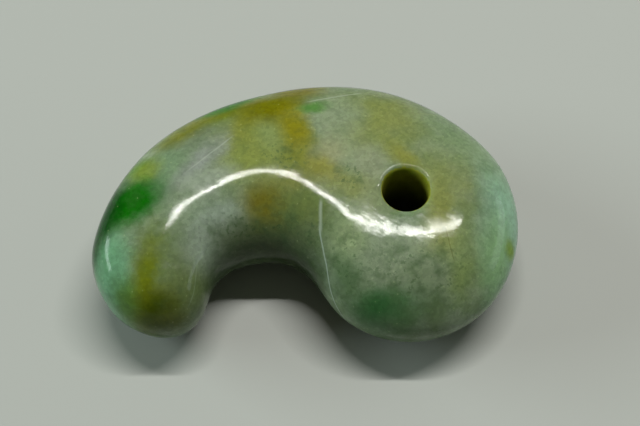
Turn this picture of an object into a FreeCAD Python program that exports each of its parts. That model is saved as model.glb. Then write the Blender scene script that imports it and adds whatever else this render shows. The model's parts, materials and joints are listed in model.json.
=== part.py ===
import FreeCAD, Part
import math
import os
import Sketcher
from FreeCAD import Placement, Rotation, Vector

# A magatama: a comma-shaped pendant stone of jadeite, all one piece. It is sawn from the
# rough, ground to a round-backed comma that thins towards its tail, drilled once through
# the head, eased at the bore's mouths and polished all over.
# It lies on its side. The origin is on the bore's axis in the stone's middle plane, +Z
# runs up the bore, +X along the stone towards the head, and the notch opens towards -Y.

# Sizes of the stone in millimetres
SIZES = {
    "stone_length": 35.0,
    "stone_breadth": 23.1,
    "stone_thickness": 10.6,
    "bore_diameter": 3.8,
    "bore_rim_radius": 0.3,
    "rest_flat_depth": 0.45,
}

# Ribs are cross-sections of the stone, listed from the head to the tail. Each has its
# middle as shares of the length and the breadth from the bore, its turn about +Z in
# degrees, its width as a share of the breadth and its height as a share of the thickness.
RIB_SHARES = [
    (0.018, -0.026, 36.0, 0.813, 1.00),
    (-0.111, 0.147, 60.0, 0.785, 1.00),
    (-0.308, 0.173, 98.0, 0.656, 0.98),
    (-0.512, 0.020, 136.0, 0.534, 0.94),
    (-0.588, -0.214, 157.0, 0.447, 0.90),
]
HEAD_TIP_SHARES = (0.154, -0.390)
TAIL_TIP_SHARES = (-0.608, -0.424)

# Each end closes as a half ellipse, with ribs at these angles round from its tip
CLOSING_ANGLES = (12.0, 26.0, 42.0, 60.0, 78.0)

# A rib is an oval: at a fullness of 0.552 a true ellipse, and towards 1 a rounded box
FULLNESS_SHARE = 0.65

# Circles start at this angle from +X, so that the bore's seam stays clear of the line
# along the top of the stone where the two halves of each oval's upper run meet
CIRCLE_START_ANGLE = 135.0


def fill_sheet():
    filled = doc.addObject("Spreadsheet::Sheet", "sizes")
    for row, (alias, value) in enumerate(SIZES.items(), start=1):
        filled.set(f"A{row}", alias)
        filled.set(f"B{row}", str(value))
        filled.setAlias(f"B{row}", alias)
    doc.recompute()
    return filled


def half_oval(sketch, half_width, half_height, way):
    """Half of an oval, from its right side over the top, or at -1 from its left side below."""
    side = FULLNESS_SHARE * half_height
    top = FULLNESS_SHARE * half_width
    run = [(half_width, 0), (half_width, side), (top, half_height)]
    run += [(-x, y) for x, y in run[::-1]]
    curve = Part.BSplineCurve()
    poles = [Vector(x * way, y * way) for x, y in run]
    curve.buildFromPolesMultsKnots(poles, [4, 2, 4], [0, 1, 2], False, 3)
    index = sketch.addGeometry(curve, False)
    sketch.exposeInternalGeometry(index)
    return index


def tie(sketch, kind, pole, expression):
    """Holds a pole's distance from the sketch's origin to the sheet."""
    place = sketch.Geometry[pole].Center
    distance = place.x if kind == "DistanceX" else place.y
    index = sketch.addConstraint(Sketcher.Constraint(kind, -1, 1, pole, 3, distance))
    sketch.setExpression(f"Constraints[{index}]", expression)


def mirror(sketch, pole, twin, axis):
    sketch.addConstraint(Sketcher.Constraint("Symmetric", pole, 3, twin, 3, axis))


def rib_sketch(name, rib):
    """One cross-section, standing upright, with its own X pointing to the stone's back."""
    x_share, y_share, turn, width_share, height_share = rib
    sketch = doc.addObject("Sketcher::SketchObject", name)
    upright = Rotation(Vector(0, 0, 1), turn) * Rotation(Vector(1, 0, 0), 90)
    sketch.Placement = Placement(Vector(), upright)
    sketch.setExpression("Placement.Base.x", f"sizes.stone_length * {x_share}")
    sketch.setExpression("Placement.Base.y", f"sizes.stone_breadth * {y_share}")
    sizes = sheet.stone_breadth * width_share / 2, sheet.stone_thickness * height_share / 2
    upper = half_oval(sketch, *sizes, 1)
    lower = half_oval(sketch, *sizes, -1)
    half_width = f"sizes.stone_breadth * {width_share} / 2"
    half_height = f"sizes.stone_thickness * {height_share} / 2"
    sketch.addConstraint(Sketcher.Constraint("PointOnObject", upper + 1, 3, -1))
    tie(sketch, "DistanceX", upper + 1, half_width)
    tie(sketch, "DistanceX", upper + 2, half_width)
    tie(sketch, "DistanceY", upper + 2, f"{half_height} * {FULLNESS_SHARE}")
    tie(sketch, "DistanceX", upper + 3, f"{half_width} * {FULLNESS_SHARE}")
    tie(sketch, "DistanceY", upper + 3, half_height)
    for pole in (1, 2, 3):
        mirror(sketch, upper + pole, upper + 7 - pole, -2)
    for pole in (2, 3, 4, 5):
        mirror(sketch, upper + pole, lower + 7 - pole, -1)
    sketch.addConstraint(Sketcher.Constraint("Coincident", upper, 2, lower, 1))
    sketch.addConstraint(Sketcher.Constraint("Coincident", lower, 2, upper, 1))
    return sketch


def closing_ribs(rib, tip_shares):
    """Ribs that shrink from an end rib to a tip, as the sections of a half ellipse do."""
    x_share, y_share, turn, width_share, height_share = rib
    ribs = []
    for angle in CLOSING_ANGLES:
        reach_share = math.cos(math.radians(angle))
        size_share = math.sin(math.radians(angle))
        ribs.append((
            x_share + (tip_shares[0] - x_share) * reach_share,
            y_share + (tip_shares[1] - y_share) * reach_share,
            turn,
            width_share * size_share,
            height_share * size_share,
        ))
    return ribs


def tip_point(name, tip_shares):
    tip = doc.addObject("Part::Vertex", name)
    tip.setExpression("X", f"sizes.stone_length * {tip_shares[0]}")
    tip.setExpression("Y", f"sizes.stone_breadth * {tip_shares[1]}")
    return tip


def comma_loft():
    """The whole rounded comma, from the tip of the head round to the tip of the tail."""
    head = closing_ribs(RIB_SHARES[0], HEAD_TIP_SHARES)
    tail = closing_ribs(RIB_SHARES[-1], TAIL_TIP_SHARES)
    ribs = head + RIB_SHARES + tail[::-1]
    sections = [rib_sketch(f"rib_{place}", rib) for place, rib in enumerate(ribs, start=1)]
    sections.insert(0, tip_point("head_tip", HEAD_TIP_SHARES))
    sections.append(tip_point("tail_tip", TAIL_TIP_SHARES))
    loft = doc.addObject("Part::Loft", "comma")
    loft.Sections = sections
    loft.Solid = True
    return loft


def circle_sketch(body, name, diameter, height):
    """A circle about the bore's axis, at a height above the middle plane."""
    ground = next(plane for plane in body.Origin.OriginFeatures if plane.Role == "XY_Plane")
    sketch = body.newObject("Sketcher::SketchObject", name)
    sketch.AttachmentSupport = (ground, "")
    sketch.MapMode = "FlatFace"
    sketch.AttachmentOffset = Placement(Vector(), Rotation(Vector(0, 0, 1), CIRCLE_START_ANGLE))
    sketch.setExpression("AttachmentOffset.Base.z", height)
    circle = sketch.addGeometry(Part.Circle(Vector(), Vector(0, 0, 1), 1), False)
    sketch.addConstraint(Sketcher.Constraint("Coincident", circle, 3, -1, 1))
    index = sketch.addConstraint(Sketcher.Constraint("Diameter", circle, 1))
    sketch.setExpression(f"Constraints[{index}]", diameter)
    return sketch


def cut_through(body, name, sketch, both_ways):
    """Cuts a sketch right through the stone, and makes sure that it takes stone away."""
    before = body.Tip.Shape.Volume
    pocket = body.newObject("PartDesign::Pocket", name)
    pocket.Profile = sketch
    pocket.Type = "ThroughAll"
    pocket.Midplane = both_ways
    doc.recompute()
    if pocket.Shape.Volume >= before:
        raise RuntimeError(f"{name} takes no stone away")
    return pocket


def mouth_edges(shape):
    """The round edges where the bore's wall meets the stone's skin and its resting flat."""
    walls = [face for face in shape.Faces if isinstance(face.Surface, Part.Cylinder)]
    rims = [edge for wall in walls for edge in wall.Edges if not isinstance(edge.Curve, Part.Line)]
    return [
        f"Edge{number}"
        for number, edge in enumerate(shape.Edges, start=1)
        if any(edge.isSame(rim) for rim in rims)
    ]


def magatama_stone():
    """The stone: the comma with its ground flat, its bore and the bore's eased mouths."""
    comma = comma_loft()
    doc.recompute()
    body = doc.addObject("PartDesign::Body", "magatama_stone")
    body.BaseFeature = comma
    doc.recompute()
    flat_height = "sizes.rest_flat_depth - sizes.stone_thickness / 2"
    past_the_tail = "sizes.stone_length * 2"
    flat = circle_sketch(body, "flat_circle", past_the_tail, flat_height)
    cut_through(body, "resting_flat", flat, False)
    bore_circle = circle_sketch(body, "bore_circle", "sizes.bore_diameter", "0 mm")
    bore = cut_through(body, "bore", bore_circle, True)
    rims = body.newObject("PartDesign::Fillet", "bore_rims")
    rims.Base = (bore, mouth_edges(bore.Shape))
    rims.setExpression("Radius", "sizes.bore_rim_radius")
    doc.recompute()
    return body


doc = FreeCAD.newDocument("jade_magatama")
sheet = fill_sheet()
stone = magatama_stone()

for item in doc.Objects:
    if {"Invalid", "Error"} & set(item.State):
        raise RuntimeError(f"{item.Name} failed: {item.State}")
if stone.Shape.isNull() or not stone.Shape.isValid() or len(stone.Shape.Solids) != 1:
    raise RuntimeError("the stone is not one valid solid")

os.makedirs("parts", exist_ok=True)
stone.Shape.exportStep(f"parts/{stone.Label}.step")
print(stone.Label, "volume", round(stone.Shape.Volume, 1), stone.Shape.BoundBox)
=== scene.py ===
import json
import math

import bmesh
import bpy
import numpy as np
from mathutils import Matrix, Vector, noise

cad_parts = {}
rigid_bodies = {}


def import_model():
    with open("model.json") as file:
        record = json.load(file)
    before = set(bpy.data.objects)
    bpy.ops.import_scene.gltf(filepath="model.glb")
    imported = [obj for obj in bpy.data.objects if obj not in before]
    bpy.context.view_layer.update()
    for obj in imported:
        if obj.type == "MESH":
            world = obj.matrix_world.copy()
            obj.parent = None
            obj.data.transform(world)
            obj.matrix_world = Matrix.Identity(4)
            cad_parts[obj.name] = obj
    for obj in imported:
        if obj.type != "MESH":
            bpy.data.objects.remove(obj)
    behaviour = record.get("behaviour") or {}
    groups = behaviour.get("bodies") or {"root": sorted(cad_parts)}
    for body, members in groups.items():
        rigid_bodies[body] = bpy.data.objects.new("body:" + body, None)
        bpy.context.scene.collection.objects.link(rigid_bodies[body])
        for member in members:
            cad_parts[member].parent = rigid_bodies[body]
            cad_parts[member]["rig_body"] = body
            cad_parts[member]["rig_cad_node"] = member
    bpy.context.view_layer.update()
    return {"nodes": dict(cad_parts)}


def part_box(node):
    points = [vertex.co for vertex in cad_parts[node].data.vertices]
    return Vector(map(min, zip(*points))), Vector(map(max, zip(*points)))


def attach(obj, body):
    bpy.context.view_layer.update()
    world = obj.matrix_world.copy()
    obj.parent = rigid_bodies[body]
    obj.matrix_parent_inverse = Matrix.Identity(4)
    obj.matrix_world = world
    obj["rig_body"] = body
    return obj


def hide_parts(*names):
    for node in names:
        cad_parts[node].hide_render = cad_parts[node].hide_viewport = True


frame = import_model()

# The stone: one piece of jadeite, sawn and ground to a comma, drilled through the head
# and polished by hand, so its skin is smooth but never quite true. It lies on a small
# flat ground on its underside, which rests on the sheet below.
MM = 0.001
BORE_RADIUS = 1.9 * MM
BORE_MOUTH = 0.35 * MM
FLAT_RIM = 0.3 * MM

# Every sharp rim is worn a little, on a net of squares this wide
GRIT_VOXEL = 0.165 * MM
WEAR_PASSES = 3
SEAM_GAP = GRIT_VOXEL / 100

# The corner inside the notch, under the head, was rubbed down further than the rest
NOTCH_CORNER = Vector((-8.3, -5.2, 0.5)) * MM
NOTCH_RUB = 5.0 * MM
NOTCH_PASSES = 155

# Low waves all over from polishing by hand, and finer rubbing on them
HAND_WAVE_LENGTH = 5.5 * MM
HAND_WAVE_DEPTH = 0.035 * MM
RUB_LENGTH = 1.3 * MM
RUB_DEPTH = 0.004 * MM

# Where the grinding left the top fuller or lower: x, y, reach and height in millimetres.
# A swell is nothing up to TOP_STARTS above the middle plane and whole TOP_FADE above that.
TOP_STARTS = 1.5 * MM
TOP_FADE = 3.2 * MM
GRINDING_SWELLS = [
    (-7.3, -2.8, 2.3, 0.35),
    (-5.4, -5.5, 2.1, 0.34),
    (2.5, -6.9, 2.6, 0.35),
    (1.1, -4.1, 2.9, -0.24),
    (-20.5, -6.4, 1.8, -0.56),
    (-13.7, 1.8, 2.9, -0.18),
    (-21.0, -2.4, 2.0, -0.34),
]


def own_copy(node):
    """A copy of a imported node's shape, with a mesh of its own and none of its tags."""
    piece = node.copy()
    piece.data = node.data.copy()
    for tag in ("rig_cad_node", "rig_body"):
        if tag in piece:
            del piece[tag]
    piece.parent = None
    bpy.context.scene.collection.objects.link(piece)
    return piece


def join_seams(mesh, gap):
    """Makes one point of each two that meet where the solid's faces join."""
    joined = bmesh.new()
    joined.from_mesh(mesh)
    bmesh.ops.remove_doubles(joined, verts=joined.verts, dist=gap)
    joined.to_mesh(mesh)
    joined.free()


def add_smoothing(piece, passes):
    smoothing = piece.modifiers.new("smoothing", "SMOOTH")
    smoothing.factor = 0.5
    smoothing.iterations = passes
    return smoothing


def apply_modifiers(piece):
    seen = piece.evaluated_get(bpy.context.evaluated_depsgraph_get())
    mesh = bpy.data.meshes.new_from_object(seen)
    piece.modifiers.clear()
    piece.data = mesh


def wear_rims(piece, voxel, passes):
    """Lays the piece on an even net of small squares, with its sharp rims worn a little."""
    piece.data.transform(Matrix.Scale(1 / MM, 4))
    net = piece.modifiers.new("net", "REMESH")
    net.mode = "VOXEL"
    net.voxel_size = voxel / MM
    add_smoothing(piece, passes)
    apply_modifiers(piece)
    piece.data.transform(Matrix.Scale(MM, 4))


def rub_down(piece, middle, reach, passes):
    """Evens out one place on the piece, fading to nothing at its reach."""
    rubbed = piece.vertex_groups.new(name="rubbed")
    for point in piece.data.vertices:
        away = (point.co - middle).length / reach
        if away < 1:
            rubbed.add([point.index], (1 - away * away) ** 2, "REPLACE")
    add_smoothing(piece, passes).vertex_group = rubbed.name
    apply_modifiers(piece)
    piece.vertex_groups.clear()


def as_rows(layer, name):
    """A mesh layer's values as rows of three numbers, one row for each point or face."""
    values = np.zeros(len(layer) * 3, np.float32)
    layer.foreach_get(name, values)
    return values.reshape(-1, 3)


def eased(share):
    """A share from 0 to 1 that sets out and ends gently."""
    share = np.clip(share, 0, 1)
    return share * share * (3 - 2 * share)


def polish_by_hand(mesh):
    """Leaves the grinding's swells on the top, and waves and rubbing clear of the rims."""
    places = as_rows(mesh.vertices, "co")
    outward = as_rows(mesh.vertex_normals, "vector")
    waves = np.array([noise.noise(Vector(place) / HAND_WAVE_LENGTH) for place in places])
    rubs = np.array([noise.noise(Vector(place) / RUB_LENGTH) for place in places])
    swell = np.zeros(len(places))
    for x, y, reach, height in GRINDING_SWELLS:
        away = np.hypot(places[:, 0] - x * MM, places[:, 1] - y * MM) / (reach * MM)
        swell += height * MM * np.exp(-away * away / 2)
    past_bore = np.hypot(places[:, 0], places[:, 1]) - BORE_RADIUS - BORE_MOUTH
    above_flat = places[:, 2] - places[:, 2].min()
    share = np.clip(past_bore / BORE_MOUTH, 0, 1) * np.clip(above_flat / FLAT_RIM, 0, 1)
    depth = (waves * HAND_WAVE_DEPTH + rubs * RUB_DEPTH) * share
    places += outward * depth[:, None]
    places[:, 2] += swell * eased((places[:, 2] - TOP_STARTS) / TOP_FADE)
    mesh.vertices.foreach_set("co", places.ravel())
    mesh.update()


stone = own_copy(frame["nodes"]["magatama_stone"])
stone.name = "polished_stone"
join_seams(stone.data, SEAM_GAP)
wear_rims(stone, GRIT_VOXEL, WEAR_PASSES)
rub_down(stone, NOTCH_CORNER, NOTCH_RUB, NOTCH_PASSES)
polish_by_hand(stone.data)
stone.data.polygons.foreach_set("use_smooth", [True] * len(stone.data.polygons))

# The jade: a felt of tiny crystals, pale grey-green, with emerald where the stone took up
# chromium and ochre where iron seeped in along its cracks. The colours run through the
# stone, so each one is a lump placed inside it, and not a mark painted on its skin.
CALM_GREEN = (122, 137, 112)
DEEP_GREEN = (98, 117, 84)
FLECK_GREEN = (62, 84, 52)
# Painted glints: white dots in the colour where single crystals would catch the light
GLINT_WHITE = (190, 198, 150)
GLINT_STRENGTH = 0.14

# How far the broad fields, the ragged stains and the cracks stray, in millimetres
FIELD_STRAY = 0.9
STAIN_STRAY = 0.65
CRACK_STRAY = 0.12

# Broad fields of colour: middle and reach in millimetres, turn in degrees, softness of the
# edge as a share of the reach, colour on a 0 to 255 scale, and strength
FIELDS = [
    ((-17.2, 3.8, 5.0), (2.2, 4.2, 4.0), -40, 0.6, (106, 120, 96), 0.9),
    ((-19.6, 2.0, 4.0), (1.5, 2.4, 4.0), -35, 0.7, (110, 134, 102), 0.85),
    ((-16.6, 5.5, 4.4), (2.4, 1.2, 2.0), 15, 0.8, (100, 112, 86), 0.7),
    ((-6.4, 10.2, 3.2), (1.6, 1.2, 2.0), 0, 0.8, (104, 116, 78), 0.7),
    ((-5.0, 5.4, 5.0), (2.0, 3.9, 4.0), 15, 0.6, (130, 141, 110), 0.95),
    ((-11.8, 4.4, 5.0), (3.0, 3.8, 4.0), -20, 0.6, (120, 130, 64), 0.95),
    ((-8.8, 3.6, 5.0), (1.5, 3.0, 3.0), 30, 0.7, (112, 116, 40), 0.8),
    ((-10.8, 5.2, 5.0), (1.0, 1.9, 3.0), 20, 0.7, (118, 134, 88), 0.6),
    ((-1.5, 6.8, 4.0), (3.1, 3.4, 4.0), 25, 0.7, (121, 129, 70), 0.9),
    ((-10.0, -1.3, 4.2), (4.4, 1.9, 3.0), 0, 0.6, (94, 106, 54), 0.95),
    ((-2.8, -0.6, 5.0), (1.7, 1.9, 3.0), 0, 0.7, (119, 129, 92), 0.9),
    ((3.2, 0.8, 5.0), (2.2, 3.6, 3.0), 0, 0.7, (122, 131, 78), 0.75),
    ((-0.8, -6.2, 4.4), (4.8, 2.5, 4.0), -6, 0.6, (119, 132, 107), 0.95),
    ((4.4, -5.4, 3.6), (1.5, 3.0, 4.0), 0, 0.7, (112, 130, 84), 0.8),
    ((8.6, -0.2, 1.0), (2.4, 7.5, 7.0), 0, 0.7, (128, 162, 138), 0.95),
    ((6.0, 6.0, 2.0), (3.2, 4.4, 6.0), 40, 0.7, (122, 143, 108), 0.75),
    ((-17.4, -7.0, 4.0), (2.2, 3.8, 5.0), 0, 0.6, (88, 102, 62), 0.95),
    ((-15.2, -3.2, 4.0), (1.9, 2.8, 4.0), -35, 0.7, (140, 154, 140), 0.95),
    ((-23.2, -6.4, 2.0), (2.1, 3.6, 6.0), 8, 0.5, (97, 142, 108), 0.95),
    ((-16.3, 2.9, 5.0), (0.8, 3.2, 3.0), -42, 0.8, (136, 142, 136), 0.7),
    ((-4.7, -4.0, 4.0), (1.4, 1.9, 3.0), 0, 0.7, (130, 145, 108), 0.9),
    ((-5.0, 7.2, 4.6), (1.7, 1.6, 2.0), 0, 0.8, (122, 136, 110), 0.7),
    ((-10.5, -3.4, 2.6), (5.4, 1.6, 3.0), 0, 0.6, (76, 90, 56), 0.85),
    # This dark field is painted shade on the notch's lower wall, where little light reaches
    ((-10.4, -5.4, -0.6), (5.2, 2.2, 4.0), 0, 0.6, (40, 52, 30), 0.9),
    ((-4.6, -6.9, 3.3), (1.1, 1.9, 2.4), 20, 0.8, (80, 102, 70), 0.9),
    ((2.7, -4.0, 4.7), (1.6, 1.6, 2.0), 0, 0.8, (122, 132, 74), 0.6),
    ((-6.2, 3.0, 5.2), (1.2, 1.5, 2.0), 0, 0.8, (140, 142, 106), 0.8),
    ((-2.6, 2.2, 5.3), (1.3, 1.5, 2.0), 0, 0.8, (134, 141, 113), 0.9),
    ((-4.8, 0.4, 5.2), (1.6, 1.0, 2.0), 0, 0.8, (124, 130, 72), 0.7),
    ((7.2, -5.0, 2.5), (1.4, 3.2, 3.0), 0, 0.7, (116, 150, 104), 0.8),
    # This pale band along the long highlight on the tail is painted sheen, a halo round the
    # highlight
    ((-16.0, 0.9, 5.0), (2.0, 0.9, 2.0), 30, 0.8, (140, 150, 134), 0.8),
    ((-13.3, 6.2, 4.9), (0.8, 1.8, 2.0), -15, 0.8, (116, 122, 48), 0.85),
    ((0.9, -7.0, 4.3), (1.5, 0.9, 2.0), 0, 0.8, (104, 118, 90), 0.8),
    ((-14.6, 8.0, 3.8), (2.2, 1.2, 2.0), 22, 0.7, (98, 110, 24), 0.95),
    ((-21.8, 2.7, 3.7), (1.0, 0.9, 2.0), 30, 0.8, (92, 122, 40), 0.9),
    ((-12.0, 9.5, -1.0), (9.0, 3.0, 4.0), 8, 0.6, (118, 126, 74), 0.7),
    ((-1.0, 1.0, -5.0), (5.5, 4.5, 3.0), 30, 0.6, (124, 133, 84), 0.7),
    ((-14.5, 3.5, -5.0), (4.0, 2.6, 3.0), 20, 0.5, (112, 134, 96), 0.8),
]

# Stronger stains with ragged edges, written in the same way
STAINS = [
    ((-20.8, 2.0, 4.2), (1.0, 1.4, 2.5), -35, 0.7, (112, 128, 48), 0.8),
    ((-22.1, -0.8, 3.4), (3.0, 1.9, 3.8), 24, 0.5, (10, 90, 0), 1.0),
    ((-24.8, -2.4, 2.2), (1.7, 4.2, 5.0), -22, 0.5, (0, 56, 4), 1.0),
    ((-17.9, 6.4, 3.6), (2.9, 1.1, 3.6), 38, 0.7, (104, 106, 20), 0.85),
    ((-14.6, 9.0, 2.8), (2.4, 0.9, 2.8), 22, 0.6, (36, 98, 6), 0.95),
    ((-11.0, 8.2, 4.2), (2.8, 1.6, 3.8), 12, 0.6, (99, 99, 6), 1.0),
    ((-8.9, 6.1, 4.8), (1.2, 2.1, 3.0), 20, 0.7, (122, 118, 22), 0.95),
    ((-8.8, 10.6, 2.6), (2.2, 1.5, 3.4), 10, 0.6, (104, 98, 0), 0.95),
    ((-7.4, 8.0, 4.6), (1.2, 0.6, 1.2), 10, 0.7, (80, 124, 56), 0.9),
    ((-6.6, 2.0, 5.0), (1.5, 0.8, 2.0), -30, 0.8, (129, 128, 54), 0.8),
    ((-11.4, -0.7, 4.4), (1.4, 1.3, 2.0), 0, 0.9, (102, 94, 16), 0.85),
    ((-0.1, 3.0, 5.0), (1.6, 0.8, 2.0), -42, 0.9, (122, 124, 44), 0.8),
    ((2.6, -2.0, 5.0), (0.9, 2.6, 2.0), 0, 0.9, (122, 126, 58), 0.7),
    ((4.1, -6.9, 3.2), (0.7, 1.3, 2.0), -20, 0.8, (110, 128, 72), 0.6),
    ((8.6, -3.9, 2.0), (0.7, 0.7, 0.9), 0, 0.7, (108, 134, 30), 0.85),
    ((-1.6, -9.5, 2.2), (3.4, 1.4, 2.8), 8, 0.8, (66, 98, 62), 0.85),
    ((-2.4, -9.0, 2.7), (1.9, 1.0, 1.6), 12, 0.9, (40, 84, 42), 0.85),
    ((2.3, -9.5, 2.3), (0.8, 1.6, 2.2), 0, 0.8, (86, 106, 68), 0.6),
    ((-20.4, -7.4, 3.8), (1.1, 3.8, 6.0), -7, 0.8, (94, 104, 6), 0.95),
    ((-20.0, -9.0, 2.6), (2.0, 1.3, 2.4), 0, 0.8, (96, 102, 14), 0.85),
    ((-19.4, -9.5, 2.2), (1.4, 1.4, 2.4), 0, 0.9, (46, 60, 0), 0.9),
    ((-9.0, 1.0, 5.0), (2.0, 0.9, 2.0), 0, 0.8, (112, 112, 36), 0.6),
    ((-22.0, -8.6, 2.4), (1.0, 1.4, 2.5), 0, 0.8, (76, 108, 44), 0.8),
    ((-18.4, -9.8, 1.6), (1.4, 0.6, 1.6), 0, 0.8, (92, 100, 40), 0.8),
    ((-11.0, 3.0, -5.0), (1.6, 3.6, 2.6), 60, 0.5, (116, 108, 22), 0.85),
    ((-3.5, -6.0, -4.6), (1.3, 2.4, 2.4), 40, 0.5, (40, 98, 44), 0.85),
    ((3.0, 6.0, -4.0), (3.0, 0.9, 3.0), -38, 0.5, (112, 112, 40), 0.8),
    ((-20.5, -5.0, -4.4), (1.2, 2.6, 2.6), 10, 0.5, (26, 96, 26), 0.8),
]

# Places where dark green flecks crowd together: middle and reach in millimetres
FLECKED = [
    ((-11.0, -3.0, 3.4), (5.0, 1.6, 2.4)),
    ((-4.6, -6.0, 3.2), (1.7, 2.8, 2.6)),
    ((0.6, -6.8, 3.8), (4.0, 2.2, 2.4)),
    ((-9.6, 3.2, 5.0), (1.8, 1.2, 1.6)),
    ((-4.4, 1.0, 5.0), (1.2, 1.2, 1.6)),
]

# Healed cracks: a point on each in millimetres, the way that its plane faces, how far it
# runs, its width, its colour and its strength
CRACKS = [
    ((-6.7, -2.0, 4.2), (0.98, -0.07, 0.19), 1.7, 0.22, (146, 158, 140), 0.7),
    ((-6.5, -4.3, 3.3), (0.86, -0.11, 0.51), 2.1, 0.11, (152, 166, 154), 0.7),
    ((-5.5, -7.2, 0.9), (0.65, -0.40, 0.64), 3.3, 0.10, (156, 168, 158), 0.75),
    ((-16.6, -6.4, 2.9), (0.68, 0.10, -0.73), 3.2, 0.08, (130, 148, 118), 0.35),
    ((-15.8, 3.4, 4.9), (0.68, -0.72, 0.1), 2.9, 0.10, (156, 164, 150), 0.55),
    ((-5.6, 9.4, 4.2), (-0.26, 0.95, 0.15), 2.9, 0.12, (152, 162, 140), 0.6),
    ((2.4, 8.0, 4.0), (-0.10, 0.98, 0.1), 1.3, 0.08, (138, 150, 104), 0.4),
    ((3.3, -4.6, 4.4), (0.97, 0.20, 0.1), 1.8, 0.07, (84, 84, 40), 0.5),
    ((0.0, 6.0, -4.6), (0.5, 0.86, 0.1), 5.0, 0.10, (156, 166, 146), 0.5),
]


def screen(colour):
    """A colour as the eye reads it on a screen, turned into the light that it sends back."""
    return tuple(((part / 255 + 0.055) / 1.055) ** 2.4 for part in colour) + (1.0,)


def feed(tree, socket, value):
    """Joins another node's output to a socket, or sets the socket's own value."""
    if isinstance(value, bpy.types.NodeSocket):
        tree.links.new(value, socket)
    else:
        socket.default_value = value


def put(tree, kind, settings, *values, out=0, **named):
    """Adds a node with its settings, fills its sockets and gives one of its outputs."""
    made = tree.nodes.new(kind)
    for name, value in settings.items():
        setattr(made, name, value)
    for place, value in enumerate(values):
        feed(tree, made.inputs[place], value)
    for name, value in named.items():
        feed(tree, made.inputs[name], value)
    return made.outputs[out]


def maths(tree, work, *values):
    return put(tree, "ShaderNodeMath", {"operation": work}, *values)


def steer(tree, work, *values, out=0):
    return put(tree, "ShaderNodeVectorMath", {"operation": work}, *values, out=out)


def turned(tree, place, angle, invert=False):
    """A place turned about the upright axis."""
    about_up = {"rotation_type": "Z_AXIS", "invert": invert}
    return put(tree, "ShaderNodeVectorRotate", about_up, Vector=place, Angle=angle)


def ramp(tree, value, start, end, low=0.0, high=1.0):
    """A value that moves gently from low to high as the given value goes from start to end."""
    gently = {"interpolation_type": "SMOOTHSTEP"}
    return put(tree, "ShaderNodeMapRange", gently, value, start, end, low, high)


def blend(tree, share, under, over, way="MIX"):
    made = tree.nodes.new("ShaderNodeMix")
    made.data_type = "RGBA"
    made.blend_type = way
    feed(tree, made.inputs[0], share)
    feed(tree, made.inputs[6], under)
    feed(tree, made.inputs[7], over)
    return made.outputs[2]


def cloud(tree, place, per_mm, detail, rough, out=0):
    """Soft uneven noise, of one value, or at out=1 of three that don't go together."""
    fineness = {"Scale": per_mm, "Detail": detail, "Roughness": rough}
    return put(tree, "ShaderNodeTexNoise", {}, out=out, Vector=place, **fineness)


def strayed(tree, place, per_mm, stray):
    """The place pushed to and fro, so that what is drawn by it comes out uneven."""
    push = cloud(tree, place, per_mm, 6.0, 0.68, out=1)
    centred = steer(tree, "SUBTRACT", push, (0.5, 0.5, 0.5))
    return steer(tree, "MULTIPLY_ADD", centred, (stray * 2,) * 3, place)


def place_in_mm(tree):
    """The place in the stone, in millimetres from the middle of its bore."""
    at = put(tree, "ShaderNodeTexCoord", {}, out=3)
    return put(tree, "ShaderNodeVectorMath", {"operation": "SCALE"}, at, Scale=1 / MM)


def new_group(name, takes, gives):
    """An empty node group with named inputs and outputs."""
    tree = bpy.data.node_groups.new(name, "ShaderNodeTree")
    for way, sockets in (("INPUT", takes), ("OUTPUT", gives)):
        for label, kind in sockets.items():
            tree.interface.new_socket(label, in_out=way, socket_type="NodeSocket" + kind)
    given = tree.nodes.new("NodeGroupInput").outputs
    result = tree.nodes.new("NodeGroupOutput").inputs
    return tree, given, result


def use_group(tree, group, out, **named):
    made = tree.nodes.new("ShaderNodeGroup")
    made.node_tree = group
    for name, value in named.items():
        feed(tree, made.inputs[name], value)
    return made.outputs[out]


# A stain is a lump of colour with a soft edge, longer one way than the other
stain_takes = {
    "Place": "Vector",
    "Middle": "Vector",
    "Reach": "Vector",
    "Turn": "Float",
    "Edge": "Float",
}
stain, given, result = new_group("stain", stain_takes, {"Mask": "Float"})
offset = steer(stain, "SUBTRACT", given["Place"], given["Middle"])
along = turned(stain, offset, given["Turn"], invert=True)
shrunk = steer(stain, "DIVIDE", along, given["Reach"])
away = steer(stain, "LENGTH", shrunk, out=1)
outer = maths(stain, "ADD", 1.0, given["Edge"])
inner = maths(stain, "SUBTRACT", 1.0, given["Edge"])
feed(stain, result["Mask"], ramp(stain, away, outer, inner))

# A healed crack is a thin plane through the stone, which fades out from 0.55 of its reach
crack_takes = {
    "Place": "Vector",
    "Middle": "Vector",
    "Facing": "Vector",
    "Reach": "Float",
    "Width": "Float",
}
crack, given, result = new_group("healed_crack", crack_takes, {"Mask": "Float"})
offset = steer(crack, "SUBTRACT", given["Place"], given["Middle"])
depth = maths(crack, "ABSOLUTE", steer(crack, "DOT_PRODUCT", offset, given["Facing"], out=1))
line = ramp(crack, depth, given["Width"], 0.0)
far = steer(crack, "LENGTH", offset, out=1)
whole = maths(crack, "MULTIPLY", given["Reach"], 0.55)
near = ramp(crack, far, given["Reach"], whole)
feed(crack, result["Mask"], maths(crack, "MULTIPLY", line, near))
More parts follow.
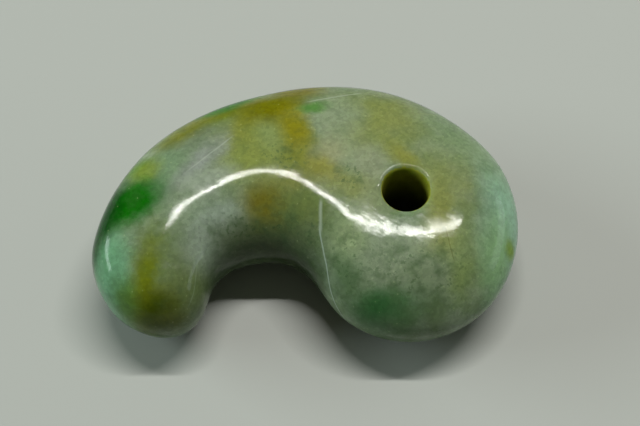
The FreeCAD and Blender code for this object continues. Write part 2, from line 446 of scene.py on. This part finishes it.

# The crystals: an uneven tone, painted glints where a few would catch the light, dark clots
# and small dark specks
crystal_gives = {
    "Tone": "Float",
    "PaintedGlint": "Float",
    "Flecks": "Float",
    "Specks": "Float",
}
crystals, given, result = new_group("crystals", {"Place": "Vector"}, crystal_gives)
felt = cloud(crystals, given["Place"], 7.0, 3.0, 0.6)
grains = crystals.nodes.new("ShaderNodeTexVoronoi")
feed(crystals, grains.inputs["Vector"], given["Place"])
grains.inputs["Scale"].default_value = 3.6
chance = put(crystals, "ShaderNodeSeparateColor", {}, grains.outputs["Color"])
uneven = maths(crystals, "MULTIPLY_ADD", chance, 0.4, maths(crystals, "MULTIPLY", felt, 0.6))
feed(crystals, result["Tone"], uneven)
rare = ramp(crystals, chance, 0.93, 0.96)
small = ramp(crystals, grains.outputs["Distance"], 0.34, 0.12)
feed(crystals, result["PaintedGlint"], maths(crystals, "MULTIPLY", rare, small))
clots = cloud(crystals, given["Place"], 0.8, 3.0, 0.55)
feed(crystals, result["Flecks"], ramp(crystals, clots, 0.44, 0.72))
dots = cloud(crystals, given["Place"], 2.3, 2.0, 0.6)
feed(crystals, result["Specks"], ramp(crystals, dots, 0.55, 0.66))

# The polish: duller in patches, with faint streaks where the rubbing went to and fro
STREAK_ANGLE = math.radians(38)
STREAK_SHAPE = (1.0, 3.4, 2.0)
POLISH_RELIEF = 0.0026 * MM
polish_gives = {"Roughness": "Float", "Height": "Float"}
polish, given, result = new_group("polish", {"Place": "Vector"}, polish_gives)
patches = cloud(polish, given["Place"], 0.9, 3.0, 0.6)
feed(polish, result["Roughness"], ramp(polish, patches, 0.3, 0.7, 0.07, 0.12))
slanted = turned(polish, given["Place"], STREAK_ANGLE)
streaks = cloud(polish, steer(polish, "MULTIPLY", slanted, STREAK_SHAPE), 1.9, 1.0, 0.4)
pits = cloud(polish, given["Place"], 6.0, 2.0, 0.5)
shallow_pits = maths(polish, "MULTIPLY", pits, 0.06)
feed(polish, result["Height"], maths(polish, "ADD", streaks, shallow_pits))


def new_finish(name):
    """A new material, and its shader."""
    finish = bpy.data.materials.new(name)
    finish.use_nodes = True
    return finish, finish.node_tree.nodes["Principled BSDF"]


def add_relief(tree, shader, height, depth):
    """Relief too fine to be in the mesh, this deep where the height goes from 0 to 1."""
    relief = put(tree, "ShaderNodeBump", {}, Height=height, Distance=depth, Strength=1.0)
    feed(tree, shader.inputs["Normal"], relief)


def make_jadeite(shader, gloss, glow):
    """Jadeite's own clearness: how it shines, and how far light sinks in and spreads."""
    shader.inputs["IOR"].default_value = 1.66
    shader.inputs["Specular IOR Level"].default_value = gloss
    shader.inputs["Subsurface Weight"].default_value = glow
    shader.inputs["Subsurface Radius"].default_value = (1.5, 2.2, 1.2)
    shader.inputs["Subsurface Scale"].default_value = MM


skin, shader = new_finish("polished_jadeite")
tree = skin.node_tree
place = place_in_mm(tree)
field_place = strayed(tree, place, 0.30, FIELD_STRAY)
stain_place = strayed(tree, place, 0.8, STAIN_STRAY)
crack_place = strayed(tree, place, 0.3, CRACK_STRAY)
mottle = ramp(tree, cloud(tree, field_place, 0.55, 5.0, 0.6), 0.36, 0.64)
colour = blend(tree, mottle, screen(DEEP_GREEN), screen(CALM_GREEN))
for lumps, where in ((FIELDS, field_place), (STAINS, stain_place)):
    for middle, reach, turn, edge, hue, strength in lumps:
        lump = {"Middle": middle, "Reach": reach, "Turn": math.radians(turn), "Edge": edge}
        mask = use_group(tree, stain, "Mask", Place=where, **lump)
        colour = blend(tree, maths(tree, "MULTIPLY", mask, strength), colour, screen(hue))

crowd = 0.0
for middle, reach in FLECKED:
    lump = {"Middle": middle, "Reach": reach, "Turn": 0.0, "Edge": 0.8}
    mask = use_group(tree, stain, "Mask", Place=field_place, **lump)
    crowd = maths(tree, "MAXIMUM", crowd, mask)
flecks = use_group(tree, crystals, "Flecks", Place=place)
flecks = maths(tree, "MULTIPLY", flecks, ramp(tree, crowd, 0.0, 1.0, 0.22, 0.7))
specks = use_group(tree, crystals, "Specks", Place=place)
specks = maths(tree, "MULTIPLY", specks, ramp(tree, crowd, 0.0, 1.0, 0.12, 0.6))
dark = maths(tree, "MAXIMUM", flecks, specks)
colour = blend(tree, dark, colour, screen(FLECK_GREEN))
tone = use_group(tree, crystals, "Tone", Place=place)
shade = ramp(tree, tone, 0.25, 0.75, 0.89, 1.09)
shade = put(tree, "ShaderNodeCombineColor", {}, shade, shade, shade)
colour = blend(tree, 1.0, colour, shade, "MULTIPLY")

for middle, facing, reach, width, hue, strength in CRACKS:
    plane = {"Middle": middle, "Facing": facing, "Reach": reach, "Width": width}
    mask = use_group(tree, crack, "Mask", Place=crack_place, **plane)
    colour = blend(tree, maths(tree, "MULTIPLY", mask, strength), colour, screen(hue))
# Painted glints: white dots mixed into the colour where crystals would catch the light
painted_glint = use_group(tree, crystals, "PaintedGlint", Place=place)
painted_glint = maths(tree, "MULTIPLY", painted_glint, GLINT_STRENGTH)
colour = blend(tree, painted_glint, colour, screen(GLINT_WHITE))
feed(tree, shader.inputs["Base Color"], colour)
feed(tree, shader.inputs["Roughness"], use_group(tree, polish, "Roughness", Place=place))
add_relief(tree, shader, use_group(tree, polish, "Height", Place=place), POLISH_RELIEF)
make_jadeite(shader, gloss=0.085, glow=0.35)
stone.data.materials.clear()
stone.data.materials.append(skin)

# The bore's wall: cut with a tube drill and loose grit, and never polished, so it is
# matt, with fine rings round it. Its colour is painted darker down the bore, as painted shade
# in the hole.
DULL_OLIVE = (120, 124, 30)
PALE_OLIVE = (134, 138, 44)
RING_SHAPE = (0.25, 0.25, 7.0)
RING_DEPTH = 0.03 * MM

# The painted shade starts at the first height and hides the wall's own colour below the
# second, both in millimetres from the middle plane
BORE_SHADE = (20, 26, 4)
SHADE_STARTS = 4.6
SHADE_WHOLE = -0.5

# The faces that count as wall: this far out from it at most, and this upright
WALL_SLACK = 0.1 * MM
WALL_STEEPNESS = 0.75

wall, shader = new_finish("drilled_jadeite")
tree = wall.node_tree
place = place_in_mm(tree)
rings = cloud(tree, steer(tree, "MULTIPLY", place, RING_SHAPE), 1.0, 3.0, 0.6)
grime = cloud(tree, place, 0.8, 3.0, 0.6)
colour = blend(tree, ramp(tree, grime, 0.35, 0.65), screen(DULL_OLIVE), screen(PALE_OLIVE))
height = put(tree, "ShaderNodeSeparateXYZ", {}, place, out=2)
# Painted shade: the wall's colour darkens with depth down the bore
painted_depth_shade = ramp(tree, height, SHADE_STARTS, SHADE_WHOLE)
feed(tree, shader.inputs["Base Color"], blend(tree, painted_depth_shade, colour, screen(BORE_SHADE)))
feed(tree, shader.inputs["Roughness"], ramp(tree, grime, 0.3, 0.7, 0.45, 0.65))
add_relief(tree, shader, rings, RING_DEPTH)
make_jadeite(shader, gloss=0.1, glow=0.6)
stone.data.materials.append(wall)

# The ground flat: taken off on a fine stone and left unpolished, so it has a satin face
# with straight rub marks. Its colours are the jade's own.
STROKE_SHAPE = (0.3, 6.0, 1.0)
STROKE_DEPTH = 0.01 * MM

# The faces that count as the flat: this far above it at most, and this level
FLAT_SLACK = 0.03 * MM
FLAT_LEVELNESS = 0.99

ground = skin.copy()
ground.name = "ground_jadeite"
tree = ground.node_tree
shader = tree.nodes["Principled BSDF"]
place = place_in_mm(tree)
strokes = cloud(tree, steer(tree, "MULTIPLY", place, STROKE_SHAPE), 1.0, 3.0, 0.6)
feed(tree, shader.inputs["Roughness"], ramp(tree, strokes, 0.3, 0.7, 0.34, 0.5))
add_relief(tree, shader, strokes, STROKE_DEPTH)
stone.data.materials.append(ground)

# Each of the stone's faces gets one of its three finishes: 0 the skin, 1 the bore, 2 the flat
middles = as_rows(stone.data.polygons, "center")
facing = as_rows(stone.data.polygons, "normal")
from_axis = np.hypot(middles[:, 0], middles[:, 1])
in_bore = (from_axis < BORE_RADIUS + WALL_SLACK) & (abs(facing[:, 2]) < WALL_STEEPNESS)
flat_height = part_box("magatama_stone")[0].z
on_flat = (middles[:, 2] < flat_height + FLAT_SLACK) & (facing[:, 2] < -FLAT_LEVELNESS)
finishes = np.where(in_bore, 1, np.where(on_flat, 2, 0)).astype(np.int32)
stone.data.polygons.foreach_set("material_index", finishes)
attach(stone, "root")
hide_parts("magatama_stone")

# The sheet that the stone lies on: plain pale card, laid flat at the height of the ground
# flat and wide enough for every view. It isn't part of the object.
SHEET_SIDE = 1.6
SHEET_COLOUR = (0.358, 0.372, 0.35, 1)

half = SHEET_SIDE / 2
corners = [(-half, -half), (half, -half), (half, half), (-half, half)]
floor_mesh = bpy.data.meshes.new("floor")
floor_mesh.from_pydata([(x, y, flat_height) for x, y in corners], [], [(0, 1, 2, 3)])
floor = bpy.data.objects.new("floor", floor_mesh)
bpy.context.scene.collection.objects.link(floor)
paper, shader = new_finish("pale_sheet")
shader.inputs["Base Color"].default_value = SHEET_COLOUR
shader.inputs["Roughness"].default_value = 0.7
floor_mesh.materials.append(paper)

# The light: one long soft tube, nearly overhead and a little beyond the stone, and two
# dim strips at its sides, which show in the polish near both ends. The room about them
# gives a low, faintly warm green light from everywhere.
TUBE_SIZE = (0.38, 0.014)
TUBE_COLOUR = (1.0, 0.985, 0.95)
TUBE_POWER = 2.45
TUBE_LEAN = math.radians(16.1)
TUBE_HEIGHT = 0.5
TUBE_TO_RIGHT = 0.08
STRIP_SIZE = (0.36, 0.12)
STRIP_COLOUR = (0.85, 1.0, 0.97)
STRIP_ASIDE = 0.47
STRIP_BEYOND = 0.07
ROOM_COLOUR = (0.94, 1.0, 0.76, 1)
ROOM_LEVEL = 0.10

# Each strip's name, its side, its height in metres and its power
STRIPS = [
    ("left_strip", -1, 0.20, 1.7),
    ("right_strip", 1, 0.10, 0.40),
]


def hang_light(name, size, power, colour, place, tip):
    """A soft rectangle of light, tipped to face the stone."""
    lamp = bpy.data.lights.new(name, "AREA")
    lamp.shape = "RECTANGLE"
    lamp.size, lamp.size_y = size
    lamp.energy = power
    lamp.color = colour
    hung = bpy.data.objects.new(name, lamp)
    hung.location = place
    hung.rotation_euler = tip
    bpy.context.scene.collection.objects.link(hung)


up = Vector((0, math.sin(TUBE_LEAN), math.cos(TUBE_LEAN))) * TUBE_HEIGHT
above = up + Vector((TUBE_TO_RIGHT, 0, 0))
hang_light("long_tube", TUBE_SIZE, TUBE_POWER, TUBE_COLOUR, above, (-TUBE_LEAN, 0, 0))
for name, way, height, power in STRIPS:
    aside = Vector((way * STRIP_ASIDE, STRIP_BEYOND, height))
    tip = aside.to_track_quat("Z", "Y").to_euler()
    hang_light(name, STRIP_SIZE, power, STRIP_COLOUR, aside, tip)

studio = bpy.data.worlds.new("studio")
studio.use_nodes = True
room = studio.node_tree.nodes["Background"]
room.inputs["Color"].default_value = ROOM_COLOUR
room.inputs["Strength"].default_value = ROOM_LEVEL
bpy.context.scene.world = studio

# The photograph's view: from 61 degrees above the sheet, straight across the notch, and
# as near as makes the stone fill two thirds of the picture's width.
VIEW_TARGET = Vector((-6.825, 0.662, 0)) * MM
VIEW_DISTANCE = 97.29 * MM
VIEW_LIFT = math.radians(61)

view = bpy.data.cameras.new("view")
view.sensor_width = 36
view.lens = 65.39
view.clip_start = 0.01
view.clip_end = 10
eye = bpy.data.objects.new("view", view)
back = Vector((0, -math.cos(VIEW_LIFT), math.sin(VIEW_LIFT)))
eye.location = VIEW_TARGET + back * VIEW_DISTANCE
eye.rotation_euler = (math.pi / 2 - VIEW_LIFT, 0, 0)
bpy.context.scene.collection.objects.link(eye)
bpy.context.scene.camera = eye
bpy.context.scene.view_settings.view_transform = "Standard"
